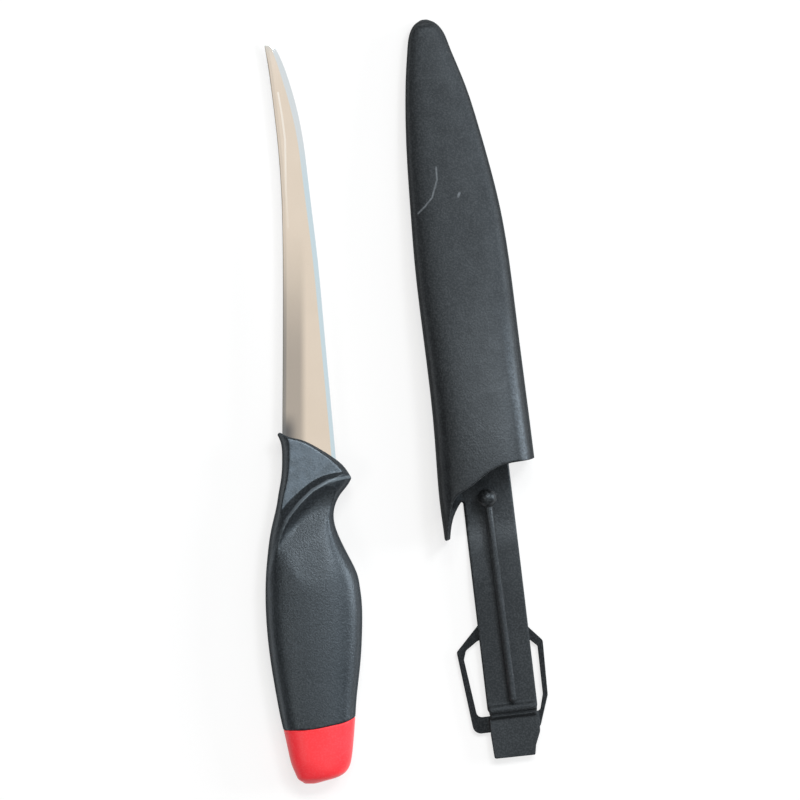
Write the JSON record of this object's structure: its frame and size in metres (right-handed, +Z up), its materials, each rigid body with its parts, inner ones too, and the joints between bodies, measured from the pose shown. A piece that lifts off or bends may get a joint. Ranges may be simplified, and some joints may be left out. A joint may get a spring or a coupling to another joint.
{
  "type": "fillet knife",
  "caption": "Curved narrow fillet knife with a floating moulded handle, lying beside its belt sheath with a spring finger and a belt clip.",
  "frame": {"origin": "centre of the footprint of the knife and sheath, on the surface that they lie on", "axes": "+Z up from that surface, +Y along the sheath towards its tip, +X from the knife towards the sheath"},
  "size_m": [0.106, 0.2786, 0.0276],
  "materials": {
    "blade_steel": "satin ground steel with a finer ground bevel",
    "handle_plastic": "fine spark-textured black plastic",
    "float_foam": "closed-cell foam",
    "cap_plastic": "smooth semi-gloss red plastic",
    "sheath_plastic": "satin black moulded plastic, lightly scuffed",
    "clip_plastic": "satin black moulded plastic"
  },
  "bodies": {
    "sheath": {"sheath_body": "sheath_plastic"},
    "knife": {"blade": "blade_steel", "handle_shell_front": "handle_plastic", "handle_shell_back": "handle_plastic", "float_core": "float_foam", "butt_cap": "cap_plastic"},
    "belt_clip": {"belt_clip": "clip_plastic"},
    "retaining_arm": {"retaining_arm": "sheath_plastic"}
  },
  "joints": [
    {"name": "knife_lift", "type": "slide", "parent": "sheath", "child": "knife", "axis": [0, 0, 1], "range_m": [0, 0.12]},
    {"name": "clip_swing", "type": "hinge", "parent": "sheath", "child": "belt_clip", "pos_m": [0.03407, -0.12031, 0.0041], "axis": [-1, 0, 0], "range_deg": [0, 50], "stiffness_Nm_per_rad": 0.06, "springref_deg": -8.59},
    {"name": "finger_flex", "type": "hinge", "parent": "sheath", "child": "retaining_arm", "pos_m": [0.03472, -0.11671, 0.0073], "axis": [1, 0, 0], "range_deg": [-1.5, 10], "stiffness_Nm_per_rad": 0.1}
  ]
}
